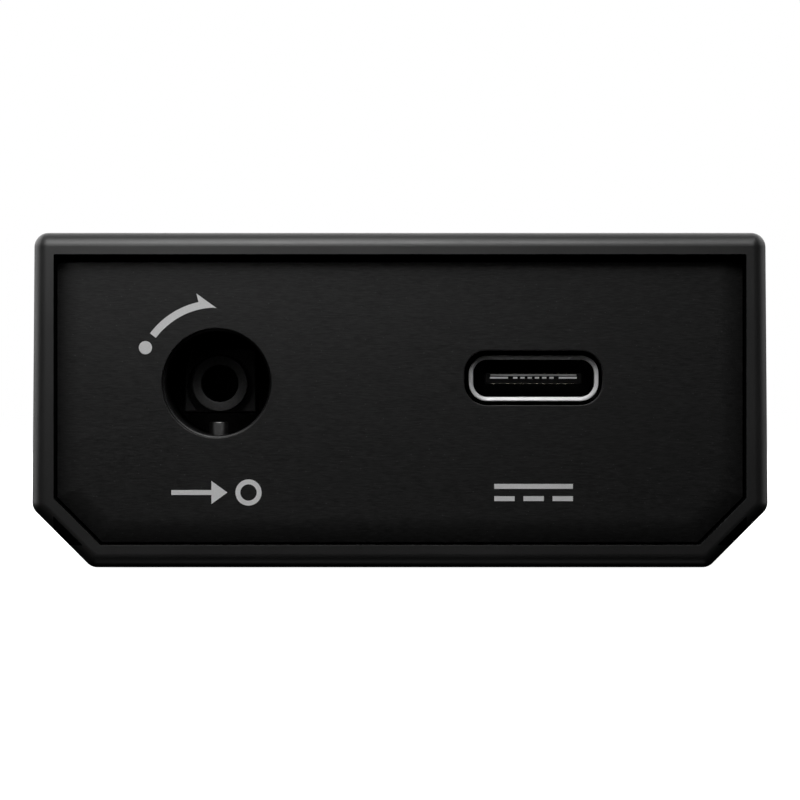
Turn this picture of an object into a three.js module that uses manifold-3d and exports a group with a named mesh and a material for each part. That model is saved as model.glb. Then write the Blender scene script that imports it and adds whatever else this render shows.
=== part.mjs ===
// A compact headphone amplifier as an assembly of separate pieces. Millimetres, +Z up.
// The socket end (locking input and USB-C power) faces -Y; the volume knob is on the +Y end.
// The origin is on the surface that the feet stand on, under the middle of the whole length.

import * as THREE from "three";
import { mergeVertices } from "three/addons/utils/BufferGeometryUtils.js";
import Module from "manifold-3d";

// ---- Driving dimensions ----------------------------------------------------------------------

const TOTAL_LENGTH = 92; // rear rim to the knob's face
const CASE_LENGTH = 84;
const CASE_WIDTH = 50.44; // across the sides, just above the chamfers
const CASE_HEIGHT = 22.95;
const CASE_LEAN = 0.15; // how far each side leans in by the top
const CHAMFER = 4.06; // leg of the 45 degree chamfer on each lower edge
const CASE_CORNER = 0.98; // radius of the extrusion's corners
const RIM_ROUND = 0.86; // radius round the outer edge of each open end
const FOOT_STAND = 0.32; // how far the feet hold the case off the surface

const OPENING_WIDTH = 47.38;
const TOP_WALL = 1.5;
const BOTTOM_WALL = 1.56;
const INNER_CHAMFER = 3.18;

const PANEL_RECESS = 1.3; // rim to panel face
const PANEL_THICKNESS = 1.5;
const PANEL_GAP = 0.1; // between a panel and the opening, at the sides and below
const PANEL_TOP_GAP = 0.45; // and over its top edge
const FLANGE_DEPTH = 9; // tab that the case screws bite into
const FLANGE_WIDTH = 30;

const BOARD_TOP = 10.7; // height of the circuit board's upper face
const BOARD_THICKNESS = 1.6;
const BOARD_END_GAP = 1.8; // panel to board, room for the power button's flange
const BOARD_SIDE_GAP = 0.2;
const NOTCH_GAP = 0.4; // board to a piece that stands in a notch of it

const INPUT_X = -12.6;
const USB_X = 9.17;
const USB_Z = 13.3;
const USB_END_FLAT = 0.3; // half the straight part at each end of the USB outlines
const AXIS_Z = 12.96; // height of the input, phones, power and volume axes
const PHONES_X = 16;
const LED_X = 9.6;
const POWER_X = 3.2;
const VOLUME_X = -14;

const POWER_TRAVEL = 0.6;
const FIT = 0.1; // radial clearance of a loose round piece in its hole
const CLOSE_FIT = 0.05; // and of a tight one
const SEAT = 0.02; // between a piece and the face that it is seated on

const ARC_STEPS = 3; // half the steps of each arc
const ROUND_STEPS = 3; // steps of a rounded end edge
const FINE_SIDES = 48;
const SIDES = 32; // facets of a cylinder
const SMALL_SIDES = 20;
const HEXAGON = 6;
const WELD = 1e-4; // vertices closer than this are one
const RUN_OUT = 1; // how far a cutting tool runs past the face it cuts

// ---- Places worked out from them ---------------------------------------------------------------

const REAR_Y = -TOTAL_LENGTH / 2;
const FRONT_Y = REAR_Y + CASE_LENGTH;
const KNOB_FACE_Y = TOTAL_LENGTH / 2;
const CASE_BASE = FOOT_STAND;
const CASE_TOP = CASE_BASE + CASE_HEIGHT;
const FLOOR_Z = CASE_BASE + BOTTOM_WALL;
const ROOF_Z = CASE_TOP - TOP_WALL;
const PANEL_BACK = PANEL_RECESS + PANEL_THICKNESS; // rim to a panel's inner face
const BOARD_BASE = BOARD_TOP - BOARD_THICKNESS;
const ON_BOARD = BOARD_TOP + SEAT; // where a piece on the board starts
const SCREW_DEPTH = PANEL_BACK + FLANGE_DEPTH / 2;

const rear = (depth) => REAR_Y + depth; // a depth behind the rear rim, as a Y
const front = (depth) => FRONT_Y - depth; // a depth behind the front rim, as a Y
const outOfPanel = (reach) => front(PANEL_RECESS - reach); // a reach past the front panel's face
const about = (centre, reach) => [centre - reach, centre + reach];
const sorted = (a, b) => [Math.min(a, b), Math.max(a, b)];

// ---- Solids: geometry in, geometry out -----------------------------------------------------------

const wasm = await Module();
wasm.setup();

function solidOf(geometry) {
  const bare = geometry.index ? geometry.toNonIndexed() : geometry.clone();
  bare.deleteAttribute("normal");
  bare.deleteAttribute("uv");
  const welded = mergeVertices(bare, WELD);
  return new wasm.Manifold(
    new wasm.Mesh({
      numProp: 3,
      vertProperties: welded.attributes.position.array,
      triVerts: new Uint32Array(welded.index.array),
    }),
  );
}

function geometryOf(solid) {
  const { vertProperties, triVerts } = solid.getMesh();
  const indexed = new THREE.BufferGeometry();
  indexed.setAttribute("position", new THREE.BufferAttribute(vertProperties, 3));
  indexed.setIndex(new THREE.BufferAttribute(triVerts, 1));
  const faceted = indexed.toNonIndexed();
  faceted.computeVertexNormals();
  return faceted;
}

function cut(base, ...tools) {
  return geometryOf(tools.reduce((left, tool) => left.subtract(solidOf(tool)), solidOf(base)));
}

function join(base, ...pieces) {
  return geometryOf(pieces.reduce((sum, piece) => sum.add(solidOf(piece)), solidOf(base)));
}

// ---- Shapes ------------------------------------------------------------------------------------

// A closed outline through [x, y, radius] corners, anticlockwise, each convex corner rounded.
function outline(corners) {
  const shape = new THREE.Shape();
  corners.forEach(([x, y, radius = 0], i) => {
    const corner = new THREE.Vector2(x, y);
    if (radius === 0) {
      const draw = i === 0 ? "moveTo" : "lineTo";
      shape[draw](x, y);
      return;
    }
    const back = new THREE.Vector2(...corners.at(i - 1)).sub(corner).normalize();
    const on = new THREE.Vector2(...corners[(i + 1) % corners.length]).sub(corner).normalize();
    const half = Math.acos(back.dot(on)) / 2;
    const reach = radius / Math.tan(half);
    const toCentre = back.clone().add(on).setLength(radius / Math.sin(half));
    const start = back.multiplyScalar(reach).sub(toCentre);
    const end = on.multiplyScalar(reach).sub(toCentre);
    const centre = corner.add(toCentre);
    shape.absarc(centre.x, centre.y, radius, start.angle(), end.angle(), false);
  });
  return shape;
}

// A rectangle with rounded corners, centred on x, y.
function roundedRectangle(width, height, radius, x, y) {
  const [left, right] = about(x, width / 2);
  const [low, high] = about(y, height / 2);
  return outline([
    [left, low, radius],
    [right, low, radius],
    [right, high, radius],
    [left, high, radius],
  ]);
}

// A slot shape, centred on the USB socket, whose ends are nearly half circles.
function usbSlot(width, height) {
  return roundedRectangle(width, height, height / 2 - USB_END_FLAT, USB_X, USB_Z);
}

// An XZ outline carried from one Y to another, its two end edges rounded if asked.
function alongY(shape, from, to, round = 0) {
  const geometry = new THREE.ExtrudeGeometry(shape, {
    depth: to - from - 2 * round,
    curveSegments: ARC_STEPS,
    bevelEnabled: round > 0,
    bevelThickness: round,
    bevelSize: round,
    bevelOffset: -round,
    bevelSegments: ROUND_STEPS,
  });
  return geometry.rotateX(Math.PI / 2).translate(0, to - round, 0);
}

// An XY outline carried up from one Z to another.
function alongZ(shape, from, to) {
  const options = { depth: to - from, curveSegments: ARC_STEPS, bevelEnabled: false };
  return new THREE.ExtrudeGeometry(shape, options).translate(0, 0, from);
}

function box([x0, x1], [y0, y1], [z0, z1]) {
  const geometry = new THREE.BoxGeometry(x1 - x0, y1 - y0, z1 - z0);
  return geometry.translate((x0 + x1) / 2, (y0 + y1) / 2, (z0 + z1) / 2);
}

function rodY(radius, from, to, x, z = AXIS_Z, sides = SIDES) {
  const geometry = new THREE.CylinderGeometry(radius, radius, to - from, sides);
  return geometry.translate(x, (from + to) / 2, z);
}

function rodZ(radius, from, to, x, y, sides = SMALL_SIDES) {
  const geometry = new THREE.CylinderGeometry(radius, radius, to - from, sides);
  return geometry.rotateX(Math.PI / 2).translate(x, y, (from + to) / 2);
}

// A turned piece about an axis along Y, from an anticlockwise profile of [radius, y] points.
function turnedY(profile, x, sides = SIDES) {
  const points = profile.map(([r, y]) => new THREE.Vector2(r, y));
  return new THREE.LatheGeometry(points, sides).translate(x, 0, AXIS_Z);
}

// The same about an axis along Z, from [radius, z] points.
function turnedZ(profile, x, y, sides = SMALL_SIDES) {
  const points = profile.map(([r, z]) => new THREE.Vector2(r, z));
  return new THREE.LatheGeometry(points, sides).rotateX(Math.PI / 2).translate(x, y, 0);
}

// A ring between two radii, along Y.
function ringY(outer, inner, from, to, x) {
  const profile = [
    [outer, from],
    [outer, to],
    [inner, to],
    [inner, from],
    [outer, from],
  ];
  return turnedY(profile, x);
}

// ---- Finishes ----------------------------------------------------------------------------------

const finish = (color, roughness, metalness) =>
  new THREE.MeshStandardMaterial({ color, roughness, metalness });

const CASE_BLACK = finish(0x1c1c1e, 0.5, 0.9);
const PANEL_BLACK = finish(0x19191a, 0.6, 0.8);
const PLASTIC_BLACK = finish(0x101011, 0.6, 0);
const NICKEL = finish(0xc9c9c6, 0.25, 1);
const STEEL = finish(0x8d8d90, 0.35, 1);
const BLACK_STEEL = finish(0x161617, 0.45, 0.9);
const CONTACT_BRONZE = finish(0xb98a4a, 0.35, 1);
const BOARD_GREEN = finish(0x0f2a1e, 0.45, 0);
const RUBBER = finish(0x141414, 0.9, 0);
const LENS = finish(0xd8e4e6, 0.2, 0);
const CAN = finish(0xb4b6b8, 0.3, 1);
const CHIP = finish(0x1b1b1d, 0.55, 0);
const FERRITE = finish(0x2b2b2d, 0.7, 0);
const FILM = finish(0xd9cf9a, 0.4, 0);

const amplifier = new THREE.Group();

function add(name, geometry, material) {
  const mesh = new THREE.Mesh(geometry, material);
  mesh.name = name;
  amplifier.add(mesh);
}

// ---- Case: one extruded tube with board rails ----------------------------------------------------

const RAIL = { reach: 1.2, height: 0.9, inWall: 0.5 }; // out of the wall, tall, and into the wall
const SCREW = { head: 1.9, shank: 1, headHeight: 0.9, length: 3.6, socket: 0.65, socketDepth: 0.55 };
const FOOT = { radius: 4, pocket: 0.5, edge: 0.3, depth: 19, x: 15 };
const SCREW_X = 11;

// The four places that are a depth behind a rim and to either side of the middle.
const cornerSpots = (x, depth) => [
  ["rear_left", -x, rear(depth)],
  ["rear_right", x, rear(depth)],
  ["front_left", -x, front(depth)],
  ["front_right", x, front(depth)],
];
const SCREW_SPOTS = cornerSpots(SCREW_X, SCREW_DEPTH);
const FOOT_SPOTS = cornerSpots(FOOT.x, FOOT.depth);

function caseOutline() {
  const half = CASE_WIDTH / 2;
  return outline([
    [-half + CHAMFER, CASE_BASE, CASE_CORNER],
    [half - CHAMFER, CASE_BASE, CASE_CORNER],
    [half, CASE_BASE + CHAMFER, CASE_CORNER],
    [half - CASE_LEAN, CASE_TOP, CASE_CORNER],
    [-half + CASE_LEAN, CASE_TOP, CASE_CORNER],
    [-half, CASE_BASE + CHAMFER, CASE_CORNER],
  ]);
}

// The opening's section, drawn in by a gap, which can be wider at the top.
function openingOutline(gap, topGap = gap) {
  const half = OPENING_WIDTH / 2 - gap;
  const leg = INNER_CHAMFER - gap * (2 - Math.SQRT2);
  const [low, high] = [FLOOR_Z + gap, ROOF_Z - topGap];
  return outline([
    [-half + leg, low],
    [half - leg, low],
    [half, low + leg],
    [half, high],
    [-half, high],
    [-half, low + leg],
  ]);
}

// Four rails, one over and one under each long edge of the board.
function rails() {
  const half = OPENING_WIDTH / 2;
  const length = [rear(PANEL_BACK + FIT), front(PANEL_BACK + FIT)];
  const under = [BOARD_BASE - FIT - RAIL.height, BOARD_BASE - FIT];
  const over = [BOARD_TOP + FIT, BOARD_TOP + FIT + RAIL.height];
  return [under, over].flatMap((height) => [
    box([half - RAIL.reach, half + RAIL.inWall], length, height),
    box([-half - RAIL.inWall, -half + RAIL.reach], length, height),
  ]);
}

// A countersunk hole up through the case floor.
function screwHole(x, y) {
  const mouth = SCREW.head + FIT;
  const neck = SCREW.shank + FIT;
  const profile = [
    [0, CASE_BASE - RUN_OUT],
    [mouth, CASE_BASE - RUN_OUT],
    [mouth, CASE_BASE + FIT],
    [neck, CASE_BASE + FIT + SCREW.headHeight],
    [neck, FLOOR_Z + RUN_OUT],
    [0, FLOOR_Z + RUN_OUT],
  ];
  return turnedZ(profile, x, y);
}

function footPocket(x, y) {
  return rodZ(FOOT.radius + FIT, CASE_BASE - RUN_OUT, CASE_BASE + FOOT.pocket, x, y, SIDES);
}

function caseShell() {
  const tube = alongY(caseOutline(), rear(0), front(0), RIM_ROUND);
  const hollow = alongY(openingOutline(0), rear(-RUN_OUT), front(-RUN_OUT));
  const pockets = FOOT_SPOTS.map(([, x, y]) => footPocket(x, y));
  const holes = SCREW_SPOTS.map(([, x, y]) => screwHole(x, y));
  return cut(join(cut(tube, hollow), ...rails()), ...pockets, ...holes);
}

add("case_shell", caseShell(), CASE_BLACK);

// ---- End panels: plates with a folded flange ------------------------------------------------------

const INPUT_HOLE = 3.75; // the panels' holes, as radii
const PHONES_HOLE = 3.1;
const LED_HOLE = 1.25;
const POWER_HOLE = 3;
const VOLUME_HOLE = 3.6;
const USB_CUTOUT = { width: 9.5, height: 3.7 };

const throughPanel = (end) => sorted(end(PANEL_RECESS - RUN_OUT), end(PANEL_BACK + RUN_OUT));

// end is rear or front, the function that turns a depth behind that rim into a Y.
function panelPlate(end) {
  const faces = sorted(end(PANEL_RECESS), end(PANEL_BACK));
  const tab = sorted(end(PANEL_BACK - FIT), end(PANEL_BACK + FLANGE_DEPTH));
  const under = FLOOR_Z + PANEL_GAP;
  const plate = alongY(openingOutline(PANEL_GAP, PANEL_TOP_GAP), ...faces);
  const flange = box(about(0, FLANGE_WIDTH / 2), tab, [under, under + PANEL_THICKNESS]);
  const tap = [under - RUN_OUT, under + PANEL_THICKNESS + RUN_OUT];
  const taps = [-SCREW_X, SCREW_X].map((x) => rodZ(SCREW.shank + FIT, ...tap, x, end(SCREW_DEPTH)));
  return cut(join(plate, flange), ...taps);
}

function rearPanel() {
  const through = throughPanel(rear);
  return cut(
    panelPlate(rear),
    rodY(INPUT_HOLE, ...through, INPUT_X),
    alongY(usbSlot(USB_CUTOUT.width, USB_CUTOUT.height), ...through),
  );
}

function frontPanel() {
  const holes = [
    [PHONES_HOLE, PHONES_X],
    [LED_HOLE, LED_X],
    [POWER_HOLE, POWER_X],
    [VOLUME_HOLE, VOLUME_X],
  ];
  const tools = holes.map(([radius, x]) => rodY(radius, ...throughPanel(front), x));
  return cut(panelPlate(front), ...tools);
}

add("rear_panel", rearPanel(), PANEL_BLACK);
add("front_panel", frontPanel(), PANEL_BLACK);

// ---- Terminals: a strip down the side of a jack body, ending in a foot on the board ---------------

const TERMINAL = { strip: 0.3, halfWidth: 0.75, toe: 1.5, aboveAxis: 1 };

// wall is the distance from the jack's axis to its side, and side is -1 or 1 in X.
function terminal(axisX, wall, side, middleY) {
  const near = axisX + side * (wall + SEAT);
  const across = about(middleY, TERMINAL.halfWidth);
  const leg = sorted(near, near + side * TERMINAL.strip);
  const toe = sorted(near, near + side * TERMINAL.toe);
  return join(
    box(leg, across, [ON_BOARD, AXIS_Z + TERMINAL.aboveAxis]),
    box(toe, across, [ON_BOARD, ON_BOARD + TERMINAL.strip]),
  );
}

// ---- Locking input socket -------------------------------------------------------------------------

// Depths are behind the rear rim, and heights are from the socket's axis.
const SLEEVE = { bore: 3.6, outer: 5.2, back: 13, floor: 1 };
const LOCK_PIN = { radius: 0.65, depth: 5.3, top: 2.6, foot: 4.9 };
const INPUT_JACK = { half: 2.5, below: 2, above: 2.45, face: 7.6, back: 18.6, plugBore: 1.3, wall: 0.8 };
const NOSE = { outer: 1.95, face: 6.8, back: 12 };
const NOSE_WELL = { radius: 2.3, depth: 8.6, drop: 0.25 }; // dark ring round the nose, low by drop
const INPUT_TERMINALS = { tip: 16.2, ring: 14.4 };

// Barrel behind the panel, its bore a little smaller than the panel's hole.
function lockSleeve() {
  const face = rear(PANEL_BACK + CLOSE_FIT);
  const [floor, back] = [rear(SLEEVE.back - SLEEVE.floor), rear(SLEEVE.back)];
  const profile = [
    [SLEEVE.bore, face],
    [SLEEVE.outer, face],
    [SLEEVE.outer, back],
    [0, back],
    [0, floor],
    [SLEEVE.bore, floor],
    [SLEEVE.bore, face],
  ];
  const jackWindow = box(
    about(INPUT_X, INPUT_JACK.half + FIT),
    [floor - RUN_OUT, back + RUN_OUT],
    [AXIS_Z - INPUT_JACK.below - FIT, AXIS_Z + INPUT_JACK.above + FIT],
  );
  const pinHeight = [AXIS_Z - SLEEVE.outer - RUN_OUT, AXIS_Z - LOCK_PIN.top];
  const pinHole = rodZ(LOCK_PIN.radius + FIT, ...pinHeight, INPUT_X, rear(LOCK_PIN.depth));
  return cut(turnedY(profile, INPUT_X), jackWindow, pinHole);
}

// Radial pin that a bayonet slot in the plug's collar turns over.
function lockPin() {
  const height = [AXIS_Z - LOCK_PIN.foot, AXIS_Z - LOCK_PIN.top];
  return rodZ(LOCK_PIN.radius, ...height, INPUT_X, rear(LOCK_PIN.depth));
}

function inputJackBody() {
  const { half, below, above, face, back, plugBore, wall } = INPUT_JACK;
  const block = box(
    about(INPUT_X, half),
    [rear(face), rear(back)],
    [AXIS_Z - below, AXIS_Z + above],
  );
  const well = [rear(face - RUN_OUT), rear(NOSE_WELL.depth)];
  return cut(
    block,
    rodY(NOSE_WELL.radius, ...well, INPUT_X, AXIS_Z - NOSE_WELL.drop),
    rodY(NOSE.outer + CLOSE_FIT, rear(face), rear(NOSE.back), INPUT_X),
    rodY(plugBore, rear(NOSE.back - RUN_OUT), rear(back - wall), INPUT_X),
  );
}

function inputJackNose() {
  const length = [rear(NOSE.face), rear(NOSE.back - CLOSE_FIT)];
  return ringY(NOSE.outer, INPUT_JACK.plugBore, ...length, INPUT_X);
}

function inputTerminal(side, depth) {
  return terminal(INPUT_X, INPUT_JACK.half, side, rear(depth));
}

add("lock_sleeve", lockSleeve(), PLASTIC_BLACK);
add("lock_pin", lockPin(), STEEL);
add("input_jack_body", inputJackBody(), PLASTIC_BLACK);
add("input_jack_nose", inputJackNose(), PLASTIC_BLACK);
add("input_tip_terminal", inputTerminal(-1, INPUT_TERMINALS.tip), CONTACT_BRONZE);
add("input_ring_terminal", inputTerminal(1, INPUT_TERMINALS.ring), CONTACT_BRONZE);

// ---- USB-C power socket ---------------------------------------------------------------------------

const USB = { width: 8.94, height: 3.16, wall: 0.3, lip: 2.3, back: 8.8, plug: 6.3 };
const USB_LEGS = { depths: [5.6, 7.9], halfWidth: 0.55, halfThick: 0.15, inShell: 0.16 };
const TONGUE = { width: 6.69, thickness: 0.7, edge: 0.12, face: 3.1, root: 0.5 };

function usbShell() {
  const { width, height, wall, lip, back } = USB;
  const tube = cut(
    alongY(usbSlot(width, height), rear(lip), rear(back)),
    alongY(usbSlot(width - 2 * wall, height - 2 * wall), rear(lip - RUN_OUT), rear(back + RUN_OUT)),
  );
  const tall = [ON_BOARD, USB_Z - height / 4];
  const legs = USB_LEGS.depths.flatMap((depth) =>
    [-1, 1].map((side) => {
      const x = USB_X + side * (width / 2 - USB_LEGS.inShell);
      return box(about(x, USB_LEGS.halfThick), about(rear(depth), USB_LEGS.halfWidth), tall);
    }),
  );
  return join(tube, ...legs);
}

// Moulded block that closes the back of the shell, with the contact tongue on its front.
function usbInsulator() {
  const inset = 2 * (USB.wall + CLOSE_FIT);
  const plug = usbSlot(USB.width - inset, USB.height - inset);
  const { width, thickness, edge, face, root } = TONGUE;
  const tongue = roundedRectangle(width, thickness, edge, USB_X, USB_Z);
  return join(
    alongY(plug, rear(USB.plug), rear(USB.back - FIT)),
    alongY(tongue, rear(face), rear(USB.plug + root)),
  );
}

add("usb_shell", usbShell(), NICKEL);
add("usb_insulator", usbInsulator(), PLASTIC_BLACK);

// ---- Phones socket --------------------------------------------------------------------------------

// Depths are behind the front rim.
const PHONES = { bush: 3, bore: 1.8, nut: 4.2, nutFace: 0.4, bushFace: 0.55 };
const PHONES_BODY = { half: 3.2, face: 4, back: 15.6, aboveAxis: 2.9, wall: 0.8 };
const PHONES_TERMINALS = { tip: 13, ring: 10 };

function phonesBody() {
  const { half, face, back, aboveAxis, wall } = PHONES_BODY;
  const length = [front(back), front(face)];
  const block = box(about(PHONES_X, half), length, [ON_BOARD, AXIS_Z + aboveAxis]);
  return cut(block, rodY(PHONES.bore, front(back - wall), front(face - RUN_OUT), PHONES_X));
}

function phonesBush() {
  return ringY(PHONES.bush, PHONES.bore, front(PHONES_BODY.face), front(PHONES.bushFace), PHONES_X);
}

function phonesNut() {
  const length = [front(PANEL_RECESS), front(PHONES.nutFace)];
  return ringY(PHONES.nut, PHONES.bush + CLOSE_FIT, ...length, PHONES_X);
}

function phonesTerminal(side, depth) {
  return terminal(PHONES_X, PHONES_BODY.half, side, front(depth));
}

add("phones_jack_body", phonesBody(), PLASTIC_BLACK);
add("phones_jack_bush", phonesBush(), NICKEL);
add("phones_jack_nut", phonesNut(), NICKEL);
add("phones_tip_terminal", phonesTerminal(-1, PHONES_TERMINALS.tip), CONTACT_BRONZE);
add("phones_ring_terminal", phonesTerminal(1, PHONES_TERMINALS.ring), CONTACT_BRONZE);

// ---- Volume control -------------------------------------------------------------------------------

const POT = { half: 4.9, depth: 7, bush: 3.5, bushReach: 3.2, washer: 5, washerThick: 0.4 };
const POT_NUT = { radius: 5.5, thick: 1.9 }; // radius across corners
const WAFER = { half: 3.9, gap: 0.05, thick: 0.8, aboveAxis: 2.5 };
const WAFER_PINS = { pitch: 2.5, halfWidth: 0.4, reach: 2, thick: 0.3 };
const SHAFT = { radius: 3, reach: 7.6, tail: 2.2, tailRoom: 0.3 };
const KNOB = { radius: 7, skirt: 6, gap: 0.45, skirtDepth: 3.7, chamfer: 0.6, boreEnd: 8.2 };
const KNOB_MARK = { halfWidth: 0.35, depth: 0.3, from: 2.4, to: 6 };
const KNOB_SCREW = { radius: 1.25, depth: 6.2, sunk: 0.5, socket: 0.75, socketDepth: 1.4 };

function potBody() {
  const length = [front(PANEL_BACK + POT.depth), front(PANEL_BACK + FIT)];
  const bearing = [front(PANEL_BACK + SHAFT.tail + SHAFT.tailRoom), front(PANEL_BACK - RUN_OUT)];
  return cut(
    box(about(VOLUME_X, POT.half), length, about(AXIS_Z, POT.half)),
    rodY(SHAFT.radius + FIT, ...bearing, VOLUME_X),
  );
}

function potBush() {
  const length = [front(PANEL_BACK + FIT), outOfPanel(POT.bushReach)];
  return ringY(POT.bush, SHAFT.radius + FIT, ...length, VOLUME_X);
}

function potWasher() {
  return ringY(POT.washer, POT.bush + CLOSE_FIT, outOfPanel(0), outOfPanel(POT.washerThick), VOLUME_X);
}

function potNut() {
  const length = [outOfPanel(POT.washerThick), outOfPanel(POT.washerThick + POT_NUT.thick)];
  const thread = [length[0] - RUN_OUT, length[1] + RUN_OUT];
  return cut(
    rodY(POT_NUT.radius, ...length, VOLUME_X, AXIS_Z, HEXAGON),
    rodY(POT.bush + CLOSE_FIT, ...thread, VOLUME_X),
  );
}

// Plate on the back of the control, with three pins that lie on the board.
function potTerminals() {
  const plateFront = front(PANEL_BACK + POT.depth + WAFER.gap);
  const plateBack = plateFront - WAFER.thick;
  const plate = box(
    about(VOLUME_X, WAFER.half),
    [plateBack, plateFront],
    [ON_BOARD, AXIS_Z + WAFER.aboveAxis],
  );
  const pinLength = [plateBack - WAFER_PINS.reach, plateFront - WAFER.thick / 2];
  const pins = [-1, 0, 1].map((i) => {
    const x = VOLUME_X + i * WAFER_PINS.pitch;
    return box(about(x, WAFER_PINS.halfWidth), pinLength, [ON_BOARD, ON_BOARD + WAFER_PINS.thick]);
  });
  return join(plate, ...pins);
}

function knobBody() {
  const back = outOfPanel(KNOB.gap);
  const skirtEnd = outOfPanel(KNOB.gap + KNOB.skirtDepth);
  const boreEnd = outOfPanel(KNOB.boreEnd);
  const bore = SHAFT.radius + CLOSE_FIT;
  const profile = [
    [KNOB.skirt, back],
    [KNOB.radius, back],
    [KNOB.radius, KNOB_FACE_Y - KNOB.chamfer],
    [KNOB.radius - KNOB.chamfer, KNOB_FACE_Y],
    [0, KNOB_FACE_Y],
    [0, boreEnd],
    [bore, boreEnd],
    [bore, skirtEnd],
    [KNOB.skirt, skirtEnd],
    [KNOB.skirt, back],
  ];
  return turnedY(profile, VOLUME_X, FINE_SIDES);
}

// The knob has a pointer groove in its face and a set screw hole in its underside.
function volumeKnob() {
  const holeHeight = [AXIS_Z - KNOB.radius - RUN_OUT, AXIS_Z];
  const screwY = outOfPanel(KNOB_SCREW.depth);
  const groove = box(
    about(VOLUME_X, KNOB_MARK.halfWidth),
    [KNOB_FACE_Y - KNOB_MARK.depth, KNOB_FACE_Y + RUN_OUT],
    [AXIS_Z + KNOB_MARK.from, AXIS_Z + KNOB_MARK.to],
  );
  const hole = rodZ(KNOB_SCREW.radius + CLOSE_FIT, ...holeHeight, VOLUME_X, screwY);
  return cut(knobBody(), hole, groove);
}

function knobSetScrew() {
  const { radius, depth, sunk, socket, socketDepth } = KNOB_SCREW;
  const low = AXIS_Z - KNOB.radius + sunk;
  const y = outOfPanel(depth);
  const grub = rodZ(radius, low, AXIS_Z - SHAFT.radius - FIT, VOLUME_X, y);
  return cut(grub, rodZ(socket, low - RUN_OUT, low + socketDepth, VOLUME_X, y, HEXAGON));
}

function volumeShaft() {
  return rodY(SHAFT.radius, front(PANEL_BACK + SHAFT.tail), outOfPanel(SHAFT.reach), VOLUME_X);
}

add("volume_pot_body", potBody(), STEEL);
add("volume_pot_bush", potBush(), NICKEL);
add("volume_pot_washer", potWasher(), STEEL);
add("volume_pot_nut", potNut(), NICKEL);
add("volume_pot_terminals", potTerminals(), CONTACT_BRONZE);
add("volume_shaft", volumeShaft(), STEEL);
add("volume_knob", volumeKnob(), CASE_BLACK);
add("knob_set_screw", knobSetScrew(), BLACK_STEEL);

// ---- Power button ---------------------------------------------------------------------------------

const CAP = { radius: 2.85, face: 0.4, edge: 0.25, flange: 3.6, flangeThick: 0.7, flangeGap: 0.15 };
const CAP_BACK = PANEL_BACK + CAP.flangeGap + CAP.flangeThick; // as a depth behind the front rim
const PLUNGER = { radius: 1, into: 1.2, room: 0.2 };
const SWITCH = { half: 3, face: 5.9, back: 9.6, aboveAxis: 2.6 };

// Round cap that shows in the panel, held in by a flange behind it.
function powerCap() {
  const flangeBack = front(CAP_BACK);
  const flangeFront = front(PANEL_BACK + CAP.flangeGap);
  const profile = [
    [0, flangeBack],
    [CAP.flange, flangeBack],
    [CAP.flange, flangeFront],
    [CAP.radius, flangeFront],
    [CAP.radius, front(CAP.face + CAP.edge)],
    [CAP.radius - CAP.edge, front(CAP.face)],
    [0, front(CAP.face)],
  ];
  return turnedY(profile, POWER_X);
}

function powerPlunger() {
  return rodY(PLUNGER.radius, front(SWITCH.face + PLUNGER.into), front(CAP_BACK), POWER_X);
}

function powerSwitchBody() {
  const { half, face, back, aboveAxis } = SWITCH;
  const block = box(about(POWER_X, half), [front(back), front(face)], [ON_BOARD, AXIS_Z + aboveAxis]);
  const guideEnd = front(face + PLUNGER.into + POWER_TRAVEL + PLUNGER.room);
  return cut(block, rodY(PLUNGER.radius + FIT, guideEnd, front(face - RUN_OUT), POWER_X));
}

add("power_button_cap", powerCap(), CASE_BLACK);
add("power_switch_plunger", powerPlunger(), PLASTIC_BLACK);
add("power_switch_body", powerSwitchBody(), PLASTIC_BLACK);

// ---- Status light ---------------------------------------------------------------------------------

const LIGHT = { radius: 1.15, face: 1.2, elbow: 5.6, halfLeg: 1, overChip: 0.3 };
const LED = { halfX: 0.8, halfY: 0.5, height: 0.7 };

// Light pipe: a rod from the panel's face to an elbow over the chip.
function lightPipe() {
  const elbowY = front(LIGHT.elbow);
  const legBase = ON_BOARD + LED.height + LIGHT.overChip;
  return join(
    box(about(LED_X, LIGHT.halfLeg), about(elbowY, LIGHT.halfLeg), [legBase, AXIS_Z + LIGHT.radius]),
    rodY(LIGHT.radius, elbowY, front(LIGHT.face), LED_X, AXIS_Z, SMALL_SIDES),
  );
}

// ---- Circuit board and what is soldered to it -------------------------------------------------------

const CAPACITOR = { halfBase: 3.3, clip: 1, baseHeight: 1.2, can: 3.15, height: 7.7 };
const INDUCTOR = { side: 6, corner: 1.2, height: 2.8 };
const AMPLIFIER_CHIP = { halfX: 2.45, halfY: 1.95, height: 1.5 };
const CONVERTER_CHIP = { halfX: 2, halfY: 2, height: 0.9 };
const FUSE = { halfX: 1.6, halfY: 1.25, height: 0.8 };
const RELAY = { halfX: 5, halfY: 3.25, height: 5.4 };
const CAPACITOR_SPOTS = [
  [-15, -12],
  [-6, -12],
  [-15, -3],
  [-6, -3],
];

// The board is notched at the rear for the lock sleeve and at the front for the volume control.
function mainBoard() {
  const endDepth = PANEL_BACK + BOARD_END_GAP;
  const half = OPENING_WIDTH / 2 - BOARD_SIDE_GAP;
  const tall = [BOARD_BASE - RUN_OUT, BOARD_TOP + RUN_OUT];
  const sleeveNotch = [rear(0), rear(SLEEVE.back + NOTCH_GAP)];
  const potNotch = [front(PANEL_BACK + POT.depth + NOTCH_GAP), front(0)];
  return cut(
    box(about(0, half), [rear(endDepth), front(endDepth)], [BOARD_BASE, BOARD_TOP]),
    box(about(INPUT_X, SLEEVE.outer + NOTCH_GAP), sleeveNotch, tall),
    box(about(VOLUME_X, POT.half + NOTCH_GAP), potNotch, tall),
  );
}

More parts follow.
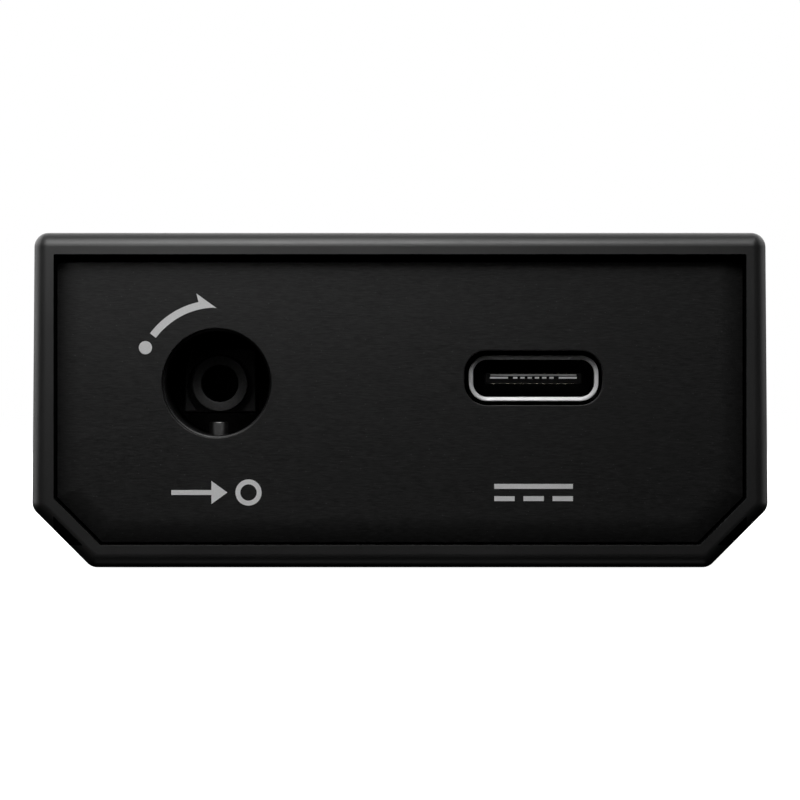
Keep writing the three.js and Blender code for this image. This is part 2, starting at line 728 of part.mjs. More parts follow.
// Surface-mount electrolytic: a square base with two clipped corners under a round can.
function capacitor(x, y) {
  const { halfBase, clip, baseHeight, can, height } = CAPACITOR;
  const [left, right] = about(x, halfBase);
  const [low, high] = about(y, halfBase);
  const base = outline([
    [left, low],
    [right, low],
    [right, high - clip],
    [right - clip, high],
    [left + clip, high],
    [left, high - clip],
  ]);
  return join(
    alongZ(base, ON_BOARD, ON_BOARD + baseHeight),
    rodZ(can, ON_BOARD + baseHeight / 2, ON_BOARD + height, x, y, SIDES),
  );
}

function inductor(x, y) {
  const { side, corner, height } = INDUCTOR;
  return alongZ(roundedRectangle(side, side, corner, x, y), ON_BOARD, ON_BOARD + height);
}

function block({ halfX, halfY, height }, x, y) {
  return box(about(x, halfX), about(y, halfY), [ON_BOARD, ON_BOARD + height]);
}

add("main_board", mainBoard(), BOARD_GREEN);
CAPACITOR_SPOTS.forEach(([x, y], i) => add(`capacitor_${i + 1}`, capacitor(x, y), CAN));
add("amplifier_chip_left", block(AMPLIFIER_CHIP, -15, 9), CHIP);
add("amplifier_chip_right", block(AMPLIFIER_CHIP, -7, 9), CHIP);
add("inductor_1", inductor(9, -22), FERRITE);
add("inductor_2", inductor(9, -13), FERRITE);
add("power_converter_chip", block(CONVERTER_CHIP, 16.5, -18), CHIP);
add("resettable_fuse", block(FUSE, 9, -32), CHIP);
add("mute_relay", block(RELAY, 11, 7), PLASTIC_BLACK);
add("led_chip", block(LED, LED_X, front(LIGHT.elbow)), LENS);
add("led_light_pipe", lightPipe(), LENS);

// ---- Insulating film on the case floor, between the panel flanges ----------------------------------

const FILM_SHEET = { halfWidth: 19, thickness: 0.25, endGap: 1 };

function insulatingFilm() {
  const endDepth = PANEL_BACK + FLANGE_DEPTH + FILM_SHEET.endGap;
  const low = FLOOR_Z + SEAT;
  const length = [rear(endDepth), front(endDepth)];
  return box(about(0, FILM_SHEET.halfWidth), length, [low, low + FILM_SHEET.thickness]);
}

add("insulating_film", insulatingFilm(), FILM);

// ---- Case screws and feet ---------------------------------------------------------------------------

function caseScrew(x, y) {
  const { head, shank, headHeight, length, socket, socketDepth } = SCREW;
  const base = CASE_BASE + FIT;
  const profile = [
    [0, base],
    [head, base],
    [shank, base + headHeight],
    [shank, base + length],
    [0, base + length],
  ];
  const key = rodZ(socket, base - RUN_OUT, base + socketDepth, x, y, HEXAGON);
  return cut(turnedZ(profile, x, y), key);
}

function foot(x, y) {
  const top = CASE_BASE + FOOT.pocket - SEAT;
  const profile = [
    [0, 0],
    [FOOT.radius - FOOT.edge, 0],
    [FOOT.radius, FOOT.edge],
    [FOOT.radius, top],
    [0, top],
  ];
  return turnedZ(profile, x, y, SIDES);
}

SCREW_SPOTS.forEach(([name, x, y]) => add(`case_screw_${name}`, caseScrew(x, y), BLACK_STEEL));
FOOT_SPOTS.forEach(([name, x, y]) => add(`foot_${name}`, foot(x, y), RUBBER));

export default amplifier;
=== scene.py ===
"""Looks of the headphone amplifier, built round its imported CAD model.

Lengths in this script are millimetres and become metres where a mesh, light or camera is made.
The socket end faces -Y, the volume knob is on the +Y end, and the feet stand on Z = 0.
"""

import math

import bmesh
import bpy
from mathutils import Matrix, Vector
from mathutils.geometry import tessellate_polygon


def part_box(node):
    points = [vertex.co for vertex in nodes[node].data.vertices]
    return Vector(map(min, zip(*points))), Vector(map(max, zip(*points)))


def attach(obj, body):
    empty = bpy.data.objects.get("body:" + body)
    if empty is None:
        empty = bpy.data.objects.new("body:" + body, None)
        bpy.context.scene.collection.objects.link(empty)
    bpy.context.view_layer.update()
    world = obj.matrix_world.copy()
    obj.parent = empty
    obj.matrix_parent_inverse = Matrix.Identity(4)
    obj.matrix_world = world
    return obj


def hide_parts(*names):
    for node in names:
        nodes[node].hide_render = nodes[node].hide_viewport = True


MM = 0.001

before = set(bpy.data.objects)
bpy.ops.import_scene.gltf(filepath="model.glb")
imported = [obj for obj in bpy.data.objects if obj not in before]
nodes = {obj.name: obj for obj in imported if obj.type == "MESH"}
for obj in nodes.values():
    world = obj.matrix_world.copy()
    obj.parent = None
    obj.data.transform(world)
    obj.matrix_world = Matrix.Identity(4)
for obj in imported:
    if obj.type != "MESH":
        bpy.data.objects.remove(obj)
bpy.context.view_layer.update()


def cad(node):
    """The lowest and the highest corner of a CAD node."""
    low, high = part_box(node)
    return low / MM, high / MM


# ---- Flat shapes ---------------------------------------------------------------------------------
# A shape is a function: inset -> its points [x, z]. The number of points doesn't depend on inset,
# so that the loops of a rounded edge match one to one.


def rounded(corners, inset=0.0, steps=6):
    """A polygon of [x, z, radius] corners, drawn in by inset. A radius of 0 stays sharp."""
    points = []
    for i, (x, z, radius) in enumerate(corners):
        here = Vector((x, z))
        before = (here - Vector(corners[i - 1][:2])).normalized()
        after = (Vector(corners[(i + 1) % len(corners)][:2]) - here).normalized()
        left = Vector((-before.y, before.x))
        next_left = Vector((-after.y, after.x))
        mitre = (left + next_left) / (1 + left.dot(next_left))
        corner = here + mitre * inset
        if radius == 0:
            points.append(corner)
            continue
        turn = math.atan2(before.x * after.y - before.y * after.x, before.dot(after))
        side = math.copysign(1, turn)
        size = max(radius - side * inset, 0.01)
        centre = corner + mitre * side * size
        start = -left * side
        for k in range(steps + 1):
            angle = turn * k / steps
            cosine, sine = math.cos(angle), math.sin(angle)
            spoke = Vector((start.x * cosine - start.y * sine, start.x * sine + start.y * cosine))
            points.append(centre + spoke * size)
    return points


def polygon(*corners, steps=6):
    return lambda inset=0.0: rounded(corners, inset, steps)


def rectangle(x, z, width, height, radius=0.0, steps=6):
    w, h = width / 2, height / 2
    signs = ((-1, -1), (1, -1), (1, 1), (-1, 1))
    return polygon(*((x + sx * w, z + sz * h, radius) for sx, sz in signs), steps=steps)


def disc(x, z, radius, sides=96, turn=0.0):
    def points(inset=0.0):
        size = radius - inset
        angles = (turn + math.tau * i / sides for i in range(sides))
        return [Vector((x + size * math.cos(a), z + size * math.sin(a))) for a in angles]

    return points


def fixed(points):
    """A shape that is drawn once and has no rounded edge."""
    return lambda inset=0.0: [Vector(p) for p in points]


# ---- Solids --------------------------------------------------------------------------------------


def place(point, level, axis):
    a, b = point
    return (a * MM, level * MM, b * MM) if axis == "y" else (a * MM, b * MM, level * MM)


def skin(bm, loops, closed=False):
    """Quads between successive loops. A loop of one vertex is a pole."""
    pairs = zip(loops, loops[1:] + loops[:1]) if closed else zip(loops, loops[1:])
    for one, two in pairs:
        count = max(len(one), len(two))
        for i in range(count):
            j = (i + 1) % count
            face = [one[i % len(one)], one[j % len(one)], two[j % len(two)], two[i % len(two)]]
            face = list(dict.fromkeys(face))
            if len(face) > 2:
                bm.faces.new(face)


def lid(bm, loops):
    """A flat end: the first loop is its outline and the others are holes in it."""
    if len(loops) == 1:
        bm.faces.new(loops[0])
        return
    verts = [v for loop in loops for v in loop]
    for triangle in tessellate_polygon([[v.co for v in loop] for loop in loops]):
        bm.faces.new([verts[i] for i in triangle])


def edge_path(low, high, low_round, high_round, steps):
    """[inset, level] pairs from one end of a solid to the other, round both end edges. A rounding
    is a radius, (inset, depth) for an elliptical one, or a list of such pairs to go through."""
    path = []
    for end, size, way in ((low, low_round, 1), (high, high_round, -1)):
        if isinstance(size, list):
            part = [(inset, end + way * depth) for inset, depth in size]
        else:
            inset, depth = size if isinstance(size, tuple) else (size, size)
            turns = [math.pi / 2 * i / steps for i in range(steps + 1)] if inset else [math.pi / 2]
            part = [(inset * (1 - math.sin(a)), end + way * depth * (1 - math.cos(a))) for a in turns]
        path += part if way > 0 else part[::-1]
    return path


def mesh_object(bm, name):
    bmesh.ops.remove_doubles(bm, verts=bm.verts, dist=1e-8)
    bmesh.ops.recalc_face_normals(bm, faces=bm.faces)
    mesh = bpy.data.meshes.new(name)
    bm.to_mesh(mesh)
    bm.free()
    piece = bpy.data.objects.new(name, mesh)
    bpy.context.scene.collection.objects.link(piece)
    return piece


def extruded(name, shape, low, high, edges=(0, 0), holes=(), hole_edges=None, axis="y", steps=5):
    """A solid between two levels, with rounded end edges and holes right through it."""
    bm = bmesh.new()
    ends = ([], [])
    for index, one in enumerate((shape, *holes)):
        rounds = edges if index == 0 or hole_edges is None else hole_edges
        way = 1 if index == 0 else -1
        loops = [
            [bm.verts.new(place(p, level, axis)) for p in one(way * inset)]
            for inset, level in edge_path(low, high, *rounds, steps)
        ]
        skin(bm, loops)
        ends[0].append(loops[0])
        ends[1].append(loops[-1])
    for loops in ends:
        lid(bm, loops)
    return mesh_object(bm, name)


def turned(name, profile, a, b, axis="y", sides=96, steps=5, ripple=None):
    """A solid of revolution. The profile's corners are [radius, level, rounding], and ripple(angle,
    radius, level) is what a knurl takes off the radius."""
    bm = bmesh.new()
    loops = []
    for radius, level in rounded(profile, steps=steps):
        if radius < 1e-4:
            loops.append([bm.verts.new(place((a, b), level, axis))])
            continue
        loop = []
        for i in range(sides):
            angle = math.tau * i / sides
            size = radius - (ripple(angle, radius, level) if ripple else 0)
            point = (a + size * math.cos(angle), b + size * math.sin(angle))
            loop.append(bm.verts.new(place(point, level, axis)))
        loops.append(loop)
    skin(bm, loops, closed=True)
    return mesh_object(bm, name)


def block(name, low, high, edge=0.0):
    """A box with its four long edges and its ends rounded by edge."""
    x, z = (low[0] + high[0]) / 2, (low[2] + high[2]) / 2
    shape = rectangle(x, z, high[0] - low[0], high[2] - low[2], edge)
    return extruded(name, shape, low[1], high[1], (edge, edge))


def combine(target, tools, operation):
    """A boolean of target and each tool, which leaves one mesh and removes the tools."""
    for tool in tools:
        modifier = target.modifiers.new(operation, "BOOLEAN")
        modifier.operation = operation
        modifier.solver = "EXACT"
        modifier.object = tool
    bpy.context.view_layer.update()
    evaluated = target.evaluated_get(bpy.context.evaluated_depsgraph_get())
    mesh = bpy.data.meshes.new_from_object(evaluated)
    target.modifiers.clear()
    target.data = mesh
    for tool in tools:
        bpy.data.objects.remove(tool)
    bm = bmesh.new()
    bm.from_mesh(mesh)
    bmesh.ops.remove_doubles(bm, verts=bm.verts, dist=2e-7)
    bmesh.ops.dissolve_degenerate(bm, edges=bm.edges, dist=1e-7)
    bm.to_mesh(mesh)
    bm.free()
    return target


def cut(target, *tools):
    return combine(target, tools, "DIFFERENCE")


def join(target, *tools):
    return combine(target, tools, "UNION")


SMOOTH_ANGLE = math.radians(32)


def finish_piece(piece, material, body, slot, *replaced):
    """Smooth shading, a material, and the piece's place in the frame."""
    mesh = piece.data
    mesh.polygons.foreach_set("use_smooth", [True] * len(mesh.polygons))
    mesh.set_sharp_from_angle(angle=SMOOTH_ANGLE)
    weighted = piece.modifiers.new("flat_faces_stay_flat", "WEIGHTED_NORMAL")
    weighted.keep_sharp = True
    mesh.materials.clear()
    mesh.materials.append(material)
    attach(piece, body)
    if replaced:
        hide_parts(*replaced)
    return piece


# ---- Materials -----------------------------------------------------------------------------------


class Finish:
    """A material with one Principled shader, and short calls for the nodes that vary it."""

    def __init__(self, name, colour, roughness, metallic=0.0, specular=0.5):
        self.material = bpy.data.materials.new(name)
        self.material.use_nodes = True
        tree = self.material.node_tree
        self.nodes, self.links = tree.nodes, tree.links
        self.shader = self.nodes["Principled BSDF"]
        self.shader.inputs["Base Color"].default_value = (*colour, 1)
        self.shader.inputs["Roughness"].default_value = roughness
        self.shader.inputs["Metallic"].default_value = metallic
        self.shader.inputs["Specular IOR Level"].default_value = specular
        self.place = self.nodes.new("ShaderNodeTexCoord").outputs["Object"]
        self.bumps = None

    def mapped(self, cell):
        """Object coordinates, counted in cells of the given size in millimetres."""
        mapping = self.nodes.new("ShaderNodeMapping")
        mapping.inputs["Scale"].default_value = [1 / (c * MM) for c in cell]
        self.links.new(self.place, mapping.inputs["Vector"])
        return mapping.outputs["Vector"]

    def noise(self, cell, detail=3.0, rough=0.55):
        """Noise with features about as large as cell."""
        noise = self.nodes.new("ShaderNodeTexNoise")
        noise.inputs["Scale"].default_value = 1.0
        noise.inputs["Detail"].default_value = detail
        noise.inputs["Roughness"].default_value = rough
        self.links.new(self.mapped(cell), noise.inputs["Vector"])
        return noise.outputs["Fac"]

    def spots(self, cell, feature="F1"):
        cells = self.nodes.new("ShaderNodeTexVoronoi")
        cells.feature = feature
        cells.inputs["Scale"].default_value = 1.0
        self.links.new(self.mapped(cell), cells.inputs["Vector"])
        return cells.outputs["Distance"]

    def spread(self, value, low, high, to_low, to_high):
        """value between low and high, stretched to the range to_low to to_high."""
        ranged = self.nodes.new("ShaderNodeMapRange")
        limits = {"From Min": low, "From Max": high, "To Min": to_low, "To Max": to_high}
        for socket, number in limits.items():
            ranged.inputs[socket].default_value = number
        self.links.new(value, ranged.inputs["Value"])
        return ranged.outputs["Result"]

    def maths(self, operation, one, two):
        node = self.nodes.new("ShaderNodeMath")
        node.operation = operation
        for socket, value in zip(node.inputs, (one, two)):
            if isinstance(value, float):
                socket.default_value = value
            else:
                self.links.new(value, socket)
        return node.outputs["Value"]

    def inside(self, low, high):
        """1 in the box between two corners in millimetres, and 0 outside it."""
        split = self.nodes.new("ShaderNodeSeparateXYZ")
        self.links.new(self.place, split.inputs["Vector"])
        mask = None
        for value, least, most in zip(split.outputs, low, high):
            above = self.maths("GREATER_THAN", value, least * MM)
            below = self.maths("LESS_THAN", value, most * MM)
            both = self.maths("MULTIPLY", above, below)
            mask = self.maths("MULTIPLY", mask, both) if mask else both
        return mask

    def colours(self, value, *stops):
        """The shader's colour, from a ramp of (position, colour) stops."""
        ramp = self.nodes.new("ShaderNodeValToRGB")
        elements = ramp.color_ramp.elements
        while len(elements) < len(stops):
            elements.new(0.5)
        for element, (position, colour) in zip(elements, stops):
            element.position = position
            element.color = (*colour, 1)
        self.links.new(value, ramp.inputs["Fac"])
        self.links.new(ramp.outputs["Color"], self.shader.inputs["Base Color"])
        return self

    def roughness(self, value, low, high):
        self.links.new(self.spread(value, 0.3, 0.7, low, high), self.shader.inputs["Roughness"])
        return self

    def bump(self, value, depth, strength=1.0):
        """Relief of the given depth in millimetres. Later calls add to earlier ones."""
        bump = self.nodes.new("ShaderNodeBump")
        bump.inputs["Strength"].default_value = strength
        bump.inputs["Distance"].default_value = depth * MM
        self.links.new(value, bump.inputs["Height"])
        if self.bumps:
            self.links.new(self.bumps, bump.inputs["Normal"])
        self.bumps = bump.outputs["Normal"]
        self.links.new(self.bumps, self.shader.inputs["Normal"])
        return self


def grey(level):
    return (level, level, level)


def blasted_black(name="case_black", painted_shade_box=None):
    """Anodised aluminium, blasted before it was anodised. The second argument is a box in millimetres:
    whatever of the piece lies in it is painted darker and has no shine, as painted shade inside the case."""
    f = Finish(name, grey(0.0155), 0.45, specular=1.0)
    fine = f.noise((0.07, 0.07, 0.07), 2.0)
    cloud = f.noise((6, 6, 6), 4.0)
    shade = fine
    if painted_shade_box:
        # Painted shade: in the box the colour is made darker and the shine is taken off.
        mask = f.inside(*painted_shade_box)
        shade = f.maths("MULTIPLY", fine, f.spread(mask, 0.0, 1.0, 1.0, 0.1))
        f.links.new(f.spread(mask, 0.0, 1.0, 1.0, 0.0), f.shader.inputs["Specular IOR Level"])
    f.colours(shade, (0.05, grey(0.003)), (0.3, grey(0.01)), (0.7, grey(0.0185)))
    f.roughness(cloud, 0.42, 0.48)
    f.bump(fine, 0.012, 0.35)
    f.bump(f.noise((0.25, 0.25, 0.25), 2.0), 0.01, 0.15)
    return f.material


def brushed_black():
    """Anodised sheet with the short level scratches of its rolling."""
    f = Finish("panel_black", grey(0.012), 0.45)
    streaks = f.noise((0.55, 0.55, 0.075), 3.0, 0.6)
    scratches = f.noise((1.6, 1.6, 0.05), 1.0)
    specks = f.spots((0.55, 0.55, 0.4))
    dots = f.spread(specks, 0.0, 0.1, 1.0, 0.0)
    f.colours(f.maths("ADD", streaks, dots), (0.35, grey(0.006)), (0.68, grey(0.0185)), (1.0, grey(0.045)))
    f.roughness(f.noise((0.9, 0.9, 0.14), 3.0), 0.4, 0.5)
    f.bump(streaks, 0.012, 0.45)
    f.bump(scratches, 0.01, 0.3)
    return f.material


def moulded_black(name, roughness, level=0.012, specular=0.5):
    """Black plastic from a finely etched mould."""
    f = Finish(name, grey(level), roughness, specular=specular)
    grain = f.noise((0.12, 0.12, 0.12), 3.0)
    f.colours(grain, (0.3, grey(0.75 * level)), (0.7, grey(1.25 * level)))
    f.roughness(f.noise((1.5, 1.5, 1.5)), roughness - 0.06, roughness + 0.06)
    f.bump(grain, 0.006, 0.3)
    return f.material


def plated(name, dark, light, roughness, cell, depth=0.002, metallic=1.0):
    """Bare or plated metal with a drawn grain."""
    f = Finish(name, light, roughness, metallic)
    grain = f.noise(cell, 3.0)
    f.colours(f.noise((0.9, 0.9, 0.9), 3.0), (0.3, dark), (0.7, light))
    f.roughness(grain, roughness - 0.05, roughness + 0.07)
    f.bump(grain, depth, 0.5)
    return f.material


def board_green():
    """Solder mask, lighter over the tracks."""
    f = Finish("board_green", (0.01, 0.07, 0.03), 0.35)
    tracks = f.spots((2.4, 1.1, 2.4), "DISTANCE_TO_EDGE")
    f.colours(f.spread(tracks, 0.02, 0.09, 0, 1), (0.0, (0.02, 0.13, 0.055)), (1.0, (0.008, 0.055, 0.024)))
    f.roughness(f.noise((2, 2, 2)), 0.28, 0.4)
    f.bump(tracks, 0.03, 0.3)
    return f.material


def rubber():
    """Matte rubber with a coarse grain."""
    f = Finish("foot_rubber", grey(0.02), 0.75)
    grain = f.noise((0.15, 0.15, 0.15), 4.0)
    f.colours(grain, (0.3, grey(0.014)), (0.7, grey(0.026)))
    f.roughness(f.noise((1, 1, 1)), 0.68, 0.82)
    f.bump(grain, 0.03, 0.5)
    return f.material


def light_lens():
    """Milky plastic that passes light."""
    f = Finish("light_lens", grey(0.7), 0.2)
    f.colours(f.noise((0.8, 0.8, 0.8)), (0.3, (0.62, 0.64, 0.66)), (0.7, (0.78, 0.8, 0.82)))
    f.shader.inputs["Transmission Weight"].default_value = 0.45
    f.shader.inputs["Subsurface Weight"].default_value = 0.3
    f.shader.inputs["Subsurface Radius"].default_value = (0.001, 0.001, 0.001)
    f.roughness(f.noise((0.5, 0.5, 0.5)), 0.15, 0.28)
    return f.material


def film():
    """Amber insulating film."""
    f = Finish("film", (0.7, 0.6, 0.35), 0.35)
    f.colours(f.noise((4, 4, 4)), (0.3, (0.62, 0.52, 0.28)), (0.7, (0.75, 0.66, 0.42)))
    f.roughness(f.noise((1.2, 1.2, 1.2)), 0.28, 0.42)
    return f.material


def ink(name, level):
    """Screen-printed grey ink."""
    f = Finish(name, grey(level), 0.6)
    grain = f.noise((0.09, 0.09, 0.09), 2.0)
    f.colours(grain, (0.3, grey(level - 0.04)), (0.7, grey(level + 0.04)))
    f.roughness(grain, 0.55, 0.65)
    f.bump(grain, 0.004, 0.3)
    return f.material


CASE = blasted_black()
PANEL = brushed_black()
SOCKET = moulded_black("socket_black", 0.38)
# The jack nose's black is painted lighter than the socket's black, as painted light on the nose inside its
# dark hole.
INSERT_PAINTED_LIGHT = moulded_black("insert_black_painted_light", 0.5, 0.05)
# Black plastic inside the USB shell, darker and with less shine than the socket's black: painted shade.
INNER_PAINTED_SHADE = moulded_black("inner_black_painted_shade", 0.6, 0.003, 0.15)
CHIP = moulded_black("chip_black", 0.5)
FERRITE = moulded_black("ferrite", 0.6)
NICKEL = plated("nickel", grey(0.62), grey(0.74), 0.16, (0.05, 0.8, 0.05))
STEEL = plated("steel", grey(0.4), grey(0.5), 0.25, (0.3, 0.3, 0.04))
PIN = plated("pin_steel", grey(0.22), grey(0.25), 0.34, (0.6, 0.6, 0.6), 0.0005)
# Nearly white and hardly metallic: this nickel's brightness is a painted sheen for the USB lip and the
# contact strips.
NICKEL_PAINTED_SHEEN = plated("nickel_painted_sheen", grey(0.9), grey(0.96), 0.32, (0.6, 0.6, 0.6), 0.0005, 0.08)
PLATE = plated("plate_grey", grey(0.42), grey(0.5), 0.4, (0.6, 0.6, 0.6), 0.0005, 0.3)
BLACK_STEEL = plated("black_steel", grey(0.03), grey(0.05), 0.4, (0.06, 0.06, 0.06), 0.004)
BRONZE = plated("contact_bronze", (0.62, 0.42, 0.2), (0.72, 0.5, 0.26), 0.28, (0.4, 0.05, 0.05))
GOLD = plated("contact_gold", (0.7, 0.66, 0.56), (0.8, 0.76, 0.66), 0.22, (0.3, 0.05, 0.05))
CAN = plated("capacitor_can", grey(0.62), grey(0.72), 0.3, (0.04, 0.04, 0.8))
BOARD = board_green()
RUBBER = rubber()
LENS = light_lens()
FILM = film()
INK = ink("legend_grey", 0.76)
SYMBOL_INK = ink("symbol_grey", 0.93)

# ---- Case ----------------------------------------------------------------------------------------

case_low, case_high = cad("case_shell")
REAR, FRONT = case_low.y, case_high.y
HALF = case_high.x
BOTTOM_WALL, TOP_WALL, OPENING = 1.56, 1.5, 23.69
FLOOR, ROOF = case_low.z + BOTTOM_WALL, case_high.z - TOP_WALL
CHAMFER, INNER_CHAMFER = 4.06, 3.18
LEAN = 0.15  # each side wall leans in by this much from the chamfer to the top
CORNER, OPENING_CORNER = 0.98, 0.1
RIM, LIP = (0.95, 1.15), 0.01  # roundings of the rim's outer and inner edge
PANEL_FACE, PANEL_BACK = 1.3, 2.8  # depths in from the rim
RAIL_LEVELS, RAIL_WIDTH, RAIL_HEIGHT = (8.1, 10.8), 1.2, 0.9
AXIS = 12.96  # height of the input hole and of the controls


def outer_section():
    return polygon(
        (-HALF + CHAMFER, case_low.z, CORNER),
        (HALF - CHAMFER, case_low.z, CORNER),
        (HALF, case_low.z + CHAMFER, CORNER),
        (HALF - LEAN, case_high.z, CORNER),
        (-HALF + LEAN, case_high.z, CORNER),
        (-HALF, case_low.z + CHAMFER, CORNER),
        steps=12,
    )


def opening(gap=0.0, top_gap=0.0, top_corner=OPENING_CORNER):
    """The tube's inside, or a plate that stays clear of it by gap, and by top_gap at the top."""
    leg = INNER_CHAMFER - gap * (2 - math.sqrt(2))
    half, low, high = OPENING - gap, FLOOR + gap, ROOF - top_gap
    return polygon(
        (-half + leg, low, OPENING_CORNER),
        (half - leg, low, OPENING_CORNER),
        (half, low + leg, OPENING_CORNER),
        (half, high, top_corner),
        (-half, high, top_corner),
        (-half, low + leg, OPENING_CORNER),
    )


def in_four_corners(kind):
    """The CAD boxes of four like pieces, by name."""
    return {
        f"{kind}_{end}_{side}": cad(f"{kind}_{end}_{side}")
        for end in ("rear", "front")
        for side in ("left", "right")
    }


# The inside of the tube: there the shell's material is painted darker and shineless, as painted shade.
PAINTED_SHADE_LOW = (-OPENING - 0.02, REAR + 0.04, FLOOR - 0.02)
PAINTED_SHADE_HIGH = (OPENING + 0.02, FRONT - 0.04, ROOF + 0.02)
SHELL = blasted_black("shell_black", (PAINTED_SHADE_LOW, PAINTED_SHADE_HIGH))


def case_shell():
    shell = extruded(
        "case",
        outer_section(),
        REAR,
        FRONT,
        (RIM, RIM),
        holes=[opening()],
        hole_edges=(LIP, LIP),
        steps=12,
    )
    rails = []
    start, end = REAR + PANEL_BACK + 0.1, FRONT - PANEL_BACK - 0.1
    for level in RAIL_LEVELS:
        for side in (-1, 1):
            a, b = sorted((side * (OPENING - RAIL_WIDTH), side * (OPENING + 0.5)))
            rails.append(block("rail", (a, start, level), (b, end, level + RAIL_HEIGHT)))
    join(shell, *rails)
    tools = []
    for low, high in in_four_corners("foot").values():
        centre = (low + high) / 2
        radius = (high.x - low.x) / 2 + 0.1
        mouth = case_low.z
        profile = (
            (0, mouth - 1, 0),
            (radius + 0.12, mouth - 1, 0),
            (radius + 0.12, mouth, 0),
            (radius, mouth + 0.12, 0),
            (radius, mouth + 0.5, 0),
            (0, mouth + 0.5, 0),
        )
        tools.append(turned("pocket", profile, centre.x, centre.y, "z", 64))
    for low, high in in_four_corners("case_screw").values():
        centre = (low + high) / 2
        mouth = case_low.z + 0.1
        profile = (
            (0, mouth - 1, 0),
            (2.08, mouth - 1, 0),
            (2.0, mouth, 0),
            (1.1, mouth + 0.9, 0),
            (1.1, FLOOR + 1, 0),
            (0, FLOOR + 1, 0),
        )
        tools.append(turned("screw_hole", profile, centre.x, centre.y, "z", 64))
    cut(shell, *tools)
    return finish_piece(shell, SHELL, "chassis", "case_black", "case_shell")


case_shell()

# ---- End panels ----------------------------------------------------------------------------------

INPUT_X, INPUT_HOLE = -12.6, 3.75
USB_X, USB_Z = 9.17, 13.3
PHONES_X, LED_X, POWER_X, VOLUME_X = 16, 9.6, 3.2, -14
FLANGE_DEPTH, FLANGE_HALF, SHEET = 9, 15, 1.5
# The outer face of a panel falls away towards its lower and side edges.
BOW_WIDTH, BOW_DEPTH, BOW_STEPS = 1.7, 0.3, 16
BOW = [(BOW_WIDTH * (1 - i / BOW_STEPS), BOW_DEPTH * (i / BOW_STEPS) ** 2) for i in range(BOW_STEPS + 1)]
PANEL_GAP, PANEL_TOP_GAP = 0.15, 0.45
TAP_X, TAP_DEPTH, TAP_RADIUS = 11, 7.3, 1.1


def pill(width, height, corner, x=USB_X, z=USB_Z):
    return rectangle(x, z, width, height, corner, 12)


def panel_outline(inset):
    """The top edge has almost no part in an inset, so that it stays straight and sharp."""
    return opening(PANEL_GAP + inset, PANEL_TOP_GAP + 0.05 * inset, 0.35)(0)


def panel(name, rim, inward, holes, node):
    """rim is the Y of the case's end and inward the sign of the way into the case."""
    faces = sorted((rim + inward * PANEL_FACE, rim + inward * PANEL_BACK))
    tab = sorted((rim + inward * (PANEL_BACK - 0.1), rim + inward * (PANEL_BACK + FLANGE_DEPTH)))
    bowed = (BOW, 0.06) if inward > 0 else (0.06, BOW)
    plate = extruded(
        name,
        panel_outline,
        *faces,
        bowed,
        holes=holes,
        hole_edges=(0.07, 0.07),
        steps=12,
    )
    under = FLOOR + 0.1
    join(plate, block("flange", (-FLANGE_HALF, tab[0], under), (FLANGE_HALF, tab[1], under + SHEET), 0.06))
    taps = []
    for x in (-TAP_X, TAP_X):
        shape = disc(x, rim + inward * TAP_DEPTH, TAP_RADIUS, 48)
        taps.append(extruded("tap", shape, under - 1, under + SHEET + 1, axis="z"))
    cut(plate, *taps)
    return finish_piece(plate, PANEL, "chassis", "panel_black", node)


usb_cutout = pill(9.5, 3.74, 1.54, z=USB_Z + 0.02)
panel("rear_plate", REAR, 1, [disc(INPUT_X, AXIS, INPUT_HOLE), usb_cutout], "rear_panel")
panel(
    "front_plate",
    FRONT,
    -1,
    [disc(PHONES_X, AXIS, 3.1), disc(LED_X, AXIS, 1.25), disc(POWER_X, AXIS, 3), disc(VOLUME_X, AXIS, 3.6)],
    "front_panel",
)

# ---- Locking input socket ------------------------------------------------------------------------

BARREL_BORE, BARREL_RADIUS, BARREL_FLOOR, BARREL_BACK = 3.6, 5.2, 12, 13
NOSE_BORE, NOSE_RADIUS, NOSE_FRONT, NOSE_BACK = 1.3, 1.95, 6.8, 11.95
PIN_RADIUS, PIN_DEPTH = 0.65, 5.3


